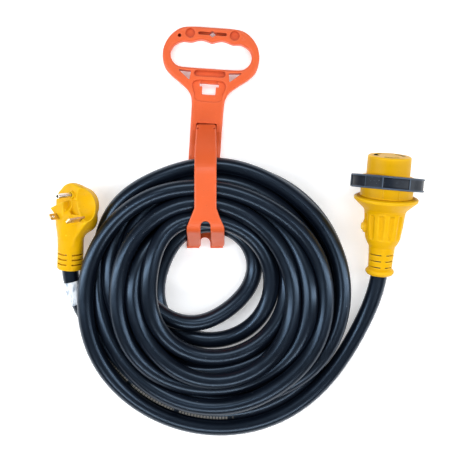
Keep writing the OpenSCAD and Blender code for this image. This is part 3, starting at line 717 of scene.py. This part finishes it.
handle = stand_for(build_handle(), "cord_set", "carrier", "carrier_handle")
strap = stand_for(build_strap(), "cord_set", "carrier")
arm = stand_for(build_arm(), "arm", "carrier", "carrier_arm")
plug = stand_for(build_plug(), "cord_set", "plug_housing", "plug_body")
connector = stand_for(build_connector(), "cord_set", "plug_housing", "connector_body")
nose = stand_for(build_nose(), "cord_set", "plug_housing", "connector_nose")
ring = stand_for(build_ring(), "ring", "lock_ring", "lock_ring")

web = build_web()
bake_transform(web)

# ------------------------------------------------------------------ label on the cord by the plug

s = np.r_[0, np.cumsum(np.linalg.norm(np.diff(LINE, axis=0), axis=1))]
back = s[-1] - s
part = LINE[(back > 0.029) & (back < 0.056)]
label = sweep("label", part, CORD_R + 0.0003, 32, caps=False)
solid = label.modifiers.new("film", "SOLIDIFY")
solid.thickness = 0.00035
solid.offset = -1
stand_for(label, "cord_set", "cord_label", "cord_label")

# ------------------------------------------------------------------ materials


class Shader:
    """A node material in the making."""

    def __init__(self, name, **sockets):
        self.material = bpy.data.materials.new(name)
        self.material.use_nodes = True
        self.tree = self.material.node_tree
        self.bsdf = self.tree.nodes["Principled BSDF"]
        for k, v in sockets.items():
            self.bsdf.inputs[k.replace("_", " ")].default_value = v
        self.where = self.add("ShaderNodeTexCoord").outputs["Object"]

    def add(self, kind, **values):
        node = self.tree.nodes.new(kind)
        for k, v in values.items():
            setattr(node, k, v)
        return node

    def link(self, a, b):
        self.tree.links.new(a, b)

    def noise(self, scale, detail=3.0, rough=0.5, stretch=None, shift=(0, 0, 0)):
        n = self.add("ShaderNodeTexNoise")
        n.inputs["Scale"].default_value = scale
        n.inputs["Detail"].default_value = detail
        n.inputs["Roughness"].default_value = rough
        m = self.add("ShaderNodeMapping")
        m.inputs["Location"].default_value = shift
        if stretch:
            m.inputs["Scale"].default_value = stretch
        self.link(self.where, m.inputs["Vector"])
        self.link(m.outputs["Vector"], n.inputs["Vector"])
        return n.outputs["Fac"]

    def span(self, value, a, b, to_a, to_b):
        m = self.add("ShaderNodeMapRange", clamp=True)
        self.link(value, m.inputs["Value"])
        for k, v in zip(("From Min", "From Max", "To Min", "To Max"), (a, b, to_a, to_b)):
            m.inputs[k].default_value = v
        return m.outputs["Result"]

    def maths(self, how, a, b):
        m = self.add("ShaderNodeMath", operation=how)
        for socket, v in zip(m.inputs, (a, b)):
            if isinstance(v, (int, float)):
                socket.default_value = v
            else:
                self.link(v, socket)
        return m.outputs[0]

    def mix(self, factor, a, b):
        m = self.add("ShaderNodeMix", data_type="RGBA")
        self.link(factor, m.inputs["Factor"])
        for socket, v in zip((m.inputs[6], m.inputs[7]), (a, b)):
            if isinstance(v, tuple):
                socket.default_value = (*v, 1)
            else:
                self.link(v, socket)
        return m.outputs[2]

    def finish(self, colour, rough, bump=None, strength=0.2, distance=0.0002):
        self.link(colour, self.bsdf.inputs["Base Color"])
        self.link(rough, self.bsdf.inputs["Roughness"])
        if bump is not None:
            n = self.add("ShaderNodeBump")
            n.inputs["Strength"].default_value = strength
            n.inputs["Distance"].default_value = distance
            self.link(bump, n.inputs["Height"])
            self.link(n.outputs["Normal"], self.bsdf.inputs["Normal"])
        return self.material


def moulded(name, dark, main, light, rough=0.42, grain=2600, strength=0.18, specks=None, edge=0.56,
            shine=0.2, crevice_shade=0.8):
    """Satin moulded plastic: faint clouding, a fine skin, scuffs, painted edge highlights and painted crease
    shade.
    """
    s = Shader(name, Specular_IOR_Level=shine)
    cloud = s.span(s.noise(34, 4), 0.32, 0.68, 0, 1)
    colour = s.mix(cloud, tuple(v * 0.93 for v in main), main)
    edges = s.add("ShaderNodeNewGeometry").outputs["Pointiness"]
    # Painted highlight: convex edges lightened towards the light colour, from pointiness
    colour = s.mix(s.span(edges, 0.5, edge, 0, 0.55), colour, light)
    # Painted shade: concave creases darkened towards the dark colour, from pointiness
    colour = s.mix(s.span(edges, 0.5, 0.43, 0, 0.4), colour, dark)
    # Painted shade: recesses and holes darkened towards the dark colour by how enclosed they are
    painted_recess_shade = s.add("ShaderNodeAmbientOcclusion", samples=6, only_local=True)
    painted_recess_shade.inputs["Distance"].default_value = 0.006
    colour = s.mix(s.span(painted_recess_shade.outputs["AO"], 0.15, 0.62, crevice_shade, 0), colour, dark)
    fine = s.noise(grain, 2)
    scuff = s.span(s.noise(160, 6, 0.65, stretch=(1, 5, 1)), 0.62, 0.72, 0, 1)
    colour = s.mix(s.maths("MULTIPLY", scuff, 0.25), colour, light)
    if specks:
        spots = s.span(s.noise(700, 1, 0.4, shift=(3, 1, 2)), 0.735, 0.76, 0, 1)
        colour = s.mix(s.maths("MULTIPLY", spots, 0.6), colour, specks)
    roughness = s.span(s.noise(90, 5), 0.3, 0.7, rough - 0.06, rough + 0.06)
    roughness = s.maths("ADD", roughness, s.maths("MULTIPLY", scuff, 0.08))
    height = s.maths("ADD", s.maths("MULTIPLY", fine, 0.6), s.maths("MULTIPLY", s.noise(420, 3), 1.0))
    return s.finish(colour, roughness, height, strength, 0.00012)


def metal(name, dark, main, light, rough=0.28, draw=(1, 1, 12)):
    """Stamped or drawn metal, a little tarnished."""
    s = Shader(name, Metallic=1.0)
    stain = s.span(s.noise(210, 5, 0.6), 0.36, 0.66, 0, 1)
    colour = s.mix(stain, dark, main)
    lines = s.noise(1500, 2, 0.5, stretch=draw)
    colour = s.mix(s.span(lines, 0.5, 0.8, 0, 0.6), colour, light)
    edges = s.add("ShaderNodeNewGeometry").outputs["Pointiness"]
    colour = s.mix(s.span(edges, 0.5, 0.58, 0, 0.7), colour, light)
    return s.finish(colour, s.span(stain, 0, 1, rough + 0.16, rough), lines, 0.12, 0.0001)


# Where the print is: its angle round the cord in radians, and its start and end along the cord
PRINT_ANGLE, PRINT_FROM, PRINT_TO = -0.72, CORD_LENGTH - 0.26, CORD_LENGTH - 0.075


def cord_rubber():
    """Black vinyl jacket: soft shine, faint drawn lines, dust, scuffs, and a printed row of plain dashes."""
    s = Shader("cord_jacket_vinyl", Specular_IOR_Level=0.6, Specular_Tint=(0.52, 0.73, 1, 1))
    jacket = s.add("ShaderNodeAttribute", attribute_name="jacket").outputs["Vector"]
    split = s.add("ShaderNodeSeparateXYZ")
    s.link(jacket, split.inputs[0])
    along = split.outputs["Z"]
    around = s.maths("ARCTAN2", split.outputs["Y"], split.outputs["X"])
    base = s.mix(s.span(s.noise(22, 4), 0.3, 0.7, 0, 1), (0.0018, 0.0028, 0.0056), (0.0036, 0.0056, 0.0108))
    haze = s.span(s.noise(55, 6, 0.62, shift=(2, 5, 1)), 0.55, 0.8, 0, 0.3)
    base = s.mix(haze, base, (0.010, 0.014, 0.023))
    dust = s.span(s.noise(620, 1.5, 0.45), 0.74, 0.775, 0, 1)
    patch = s.span(s.noise(16, 2, 0.5, shift=(7, 0, 3)), 0.5, 0.66, 0.05, 0.8)
    base = s.mix(s.maths("MULTIPLY", dust, patch), base, (0.24, 0.26, 0.3))
    # Dashes of print, on the stretch before the plug
    n_dash = s.maths("FRACT", s.maths("MULTIPLY", along, 330.0), 0)
    word = s.maths("FRACT", s.maths("MULTIPLY", along, 19.0), 0)
    on = s.maths("MULTIPLY", s.span(n_dash, 0.62, 0.66, 1, 0), s.span(word, 0.9, 0.92, 1, 0))
    band = s.span(s.maths("ABSOLUTE", s.maths("SUBTRACT", around, PRINT_ANGLE), 0), 0.23, 0.26, 1, 0)
    near = s.maths("MULTIPLY", s.span(along, PRINT_FROM, PRINT_FROM + 0.004, 0, 1),
                   s.span(along, PRINT_TO, PRINT_TO + 0.004, 1, 0))
    print_mask = s.maths("MULTIPLY", s.maths("MULTIPLY", on, band), near)
    base = s.mix(s.maths("MULTIPLY", print_mask, 0.6), base, (0.33, 0.31, 0.27))
    rough = s.maths("ADD", s.span(s.noise(70, 5), 0.3, 0.7, 0.28, 0.32), s.maths("MULTIPLY", haze, 0.25))
    ridges = s.maths("SINE", s.maths("MULTIPLY", around, 64.0), 0)
    skin = s.maths("ADD", s.noise(900, 3), s.maths("MULTIPLY", s.noise(150, 3), 0.8))
    height = s.maths("ADD", s.maths("MULTIPLY", ridges, 0.06), skin)
    return s.finish(base, rough, height, 0.05, 0.0001)


def label_film():
    s = Shader("label_film", Coat_Weight=0.5, Coat_Roughness=0.12)
    crease = s.noise(190, 5, 0.6, stretch=(1, 0.35, 1))
    # Painted shade and painted reflection: the crease noise that shapes the bump also darkens the film to
    # blue-grey streaks
    colour = s.mix(s.span(crease, 0.34, 0.5, 0, 1), (0.16, 0.24, 0.34), (0.90, 0.93, 0.96))
    return s.finish(colour, s.span(crease, 0.3, 0.7, 0.35, 0.18), crease, 1.0, 0.002)


# Moulded colours are dark, main, light: dark is painted shade in creases and recesses, light is painted edge
# highlight and also the scuff colour
ORANGE = moulded("carrier_orange", (0.40, 0.045, 0.012), (0.79, 0.118, 0.028), (0.97, 0.27, 0.13), 0.40,
                 specks=(0.55, 0.09, 0.03), edge=0.64, shine=0.32)
YELLOW = moulded("housing_yellow", (0.46, 0.19, 0.0), (0.79, 0.41, 0.0), (0.94, 0.62, 0.03), 0.40,
                 specks=(0.45, 0.25, 0.02), shine=0.12, crevice_shade=0.35)
AMBER_BLOCK = moulded("inner_block_vinyl", (0.35, 0.16, 0.0), (0.60, 0.33, 0.01), (0.8, 0.5, 0.1), 0.5)
RING_BLACK = moulded("ring_black", (0.002, 0.003, 0.005), (0.006, 0.009, 0.016), (0.14, 0.19, 0.26), 0.36,
                     grain=1900, strength=0.3, edge=0.53, shine=0.16, specks=(0.10, 0.12, 0.15))
GASKET = moulded("gasket_rubber", (0.004, 0.004, 0.004), (0.012, 0.012, 0.013), (0.05, 0.05, 0.05), 0.6)
BRASS = metal("blade_metal", (0.28, 0.15, 0.05), (0.62, 0.43, 0.20), (0.86, 0.70, 0.45), 0.26)
NICKEL = metal("pin_metal", (0.34, 0.25, 0.14), (0.66, 0.58, 0.46), (0.9, 0.86, 0.78), 0.2)
COPPER = metal("crimp_metal", (0.35, 0.12, 0.05), (0.75, 0.38, 0.22), (0.9, 0.6, 0.45), 0.3)
LENS = moulded("lens_amber", (0.55, 0.22, 0.0), (0.93, 0.50, 0.01), (1.0, 0.72, 0.12), 0.22, strength=0.08)
LED = moulded("led_red", (0.3, 0.01, 0.01), (0.7, 0.03, 0.02), (0.9, 0.2, 0.15), 0.2)
WIRE = {
    "hot": moulded("wire_black", (0.004, 0.004, 0.004), (0.02, 0.02, 0.02), (0.08, 0.08, 0.08), 0.45),
    "neutral": moulded("wire_white", (0.4, 0.4, 0.38), (0.75, 0.75, 0.72), (0.9, 0.9, 0.88), 0.45),
    "ground": moulded("wire_green", (0.005, 0.06, 0.01), (0.01, 0.16, 0.03), (0.05, 0.3, 0.1), 0.45),
}
# Painted shade: a near-black brown for the inside of the nose's contact slots
SLOT_SHADE = moulded("slot_painted_shade", (0.006, 0.004, 0.002), (0.02, 0.013, 0.006), (0.05, 0.035, 0.02), 0.6)


def paint(obj, material):
    if obj.data.materials:
        for i in range(len(obj.data.materials)):
            obj.data.materials[i] = material
    else:
        obj.data.materials.append(material)


def shade_slots(obj):
    """Paints the inside of the nose's contact slots with a near-black material: painted shade in the slots.
    """
    mesh = obj.data
    mesh.materials.append(SLOT_SHADE)
    mid = np.zeros(len(mesh.polygons) * 3, np.float32)
    mesh.polygons.foreach_get("center", mid)
    back = np.array(CONNECTOR.inverted())
    mid = mid.reshape(-1, 3) * 1000 @ back[:3, :3].T + back[:3, 3]
    angle = np.degrees(np.arctan2(mid[:, 1], mid[:, 0]))
    off = np.min([off_turn(angle, a) for a in SLOT_TURNS], axis=0)
    inside = (off < 40) & (np.abs(np.hypot(mid[:, 0], mid[:, 1]) - SLOT_R) < 2.1)
    inside |= np.hypot(mid[:, 0] - SLOT_END[0], mid[:, 1] - SLOT_END[1]) < 3.2
    inside &= (mid[:, 2] > 19) & (mid[:, 2] < 40.1)
    mesh.polygons.foreach_set("material_index", inside.astype(np.int32))


for piece in (handle, strap, arm, web):
    paint(piece, ORANGE)
for piece in (plug, connector, nose):
    paint(piece, YELLOW)
shade_slots(nose)
paint(ring, RING_BLACK)
paint(cord, cord_rubber())
paint(label, label_film())
NODE_MATERIAL = {
    "plug_core": AMBER_BLOCK, "connector_core": AMBER_BLOCK, "plug_hot_blade": BRASS,
    "plug_neutral_blade": BRASS, "plug_ground_pin": NICKEL, "plug_crimps": COPPER,
    "connector_crimps": COPPER, "connector_hot_contact": BRASS, "connector_neutral_contact": NICKEL,
    "connector_ground_contact": BRASS, "ring_gasket": GASKET,
    "power_light_lens": LENS, "power_light_led": LED, "carrier_handle": ORANGE, "carrier_arm": ORANGE,
    "plug_body": YELLOW, "connector_body": YELLOW, "connector_nose": YELLOW, "lock_ring": RING_BLACK,
}
for name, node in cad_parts.items():
    if name.endswith("_wire"):
        paint(node, WIRE[name.split("_")[1]])
    elif name in NODE_MATERIAL:
        paint(node, NODE_MATERIAL[name])

# ------------------------------------------------------------------ floor, light


def lamp(name, where, towards, size, power, colour=(1, 1, 1)):
    light = bpy.data.lights.new(name, "AREA")
    light.shape = "RECTANGLE"
    light.size, light.size_y = size
    light.energy = power
    light.color = colour
    obj = bpy.data.objects.new(name, light)
    obj.location = where
    obj.rotation_euler = (Vector(towards) - Vector(where)).to_track_quat("-Z", "Y").to_euler()
    SCENE.collection.objects.link(obj)


FLOOR_Z = -0.0004
floor = new_mesh("floor", [(x, y, FLOOR_Z) for x, y in ((-4, -4), (4, -4), (4, 4), (-4, 4))], [(0, 1, 2, 3)])
fs = Shader("floor_white", Specular_IOR_Level=0.0)
pale = fs.mix(fs.span(fs.noise(3, 2), 0.3, 0.7, 0, 1), (0.93, 0.93, 0.935), (0.95, 0.95, 0.95))
paint(floor, fs.finish(pale, fs.span(fs.noise(5, 2), 0.3, 0.7, 0.8, 0.9)))
fs.bsdf.inputs["Emission Color"].default_value = (1, 1, 1, 1)
fs.bsdf.inputs["Emission Strength"].default_value = 0.32

lamp("left_box", (-0.75, -0.1, 0.62), (0, -0.1, 0), (0.15, 1.3), 7.8, (0.86, 0.93, 1))
lamp("right_box", (0.75, -0.1, 0.62), (0, -0.1, 0), (0.15, 1.3), 6.5, (0.9, 0.95, 1))
lamp("top_box", (0.0, 0.75, 1.15), (0, -0.1, 0), (1.0, 0.3), 7)
lamp("front_box", (0.0, -0.95, 0.7), (0, -0.1, 0), (1.2, 0.16), 6)

world = bpy.data.worlds.new("room")
world.use_nodes = True
world.node_tree.nodes["Background"].inputs["Color"].default_value = (0.95, 0.97, 1.0, 1)
world.node_tree.nodes["Background"].inputs["Strength"].default_value = 0.1
SCENE.world = world
SCENE.view_settings.view_transform = "Standard"
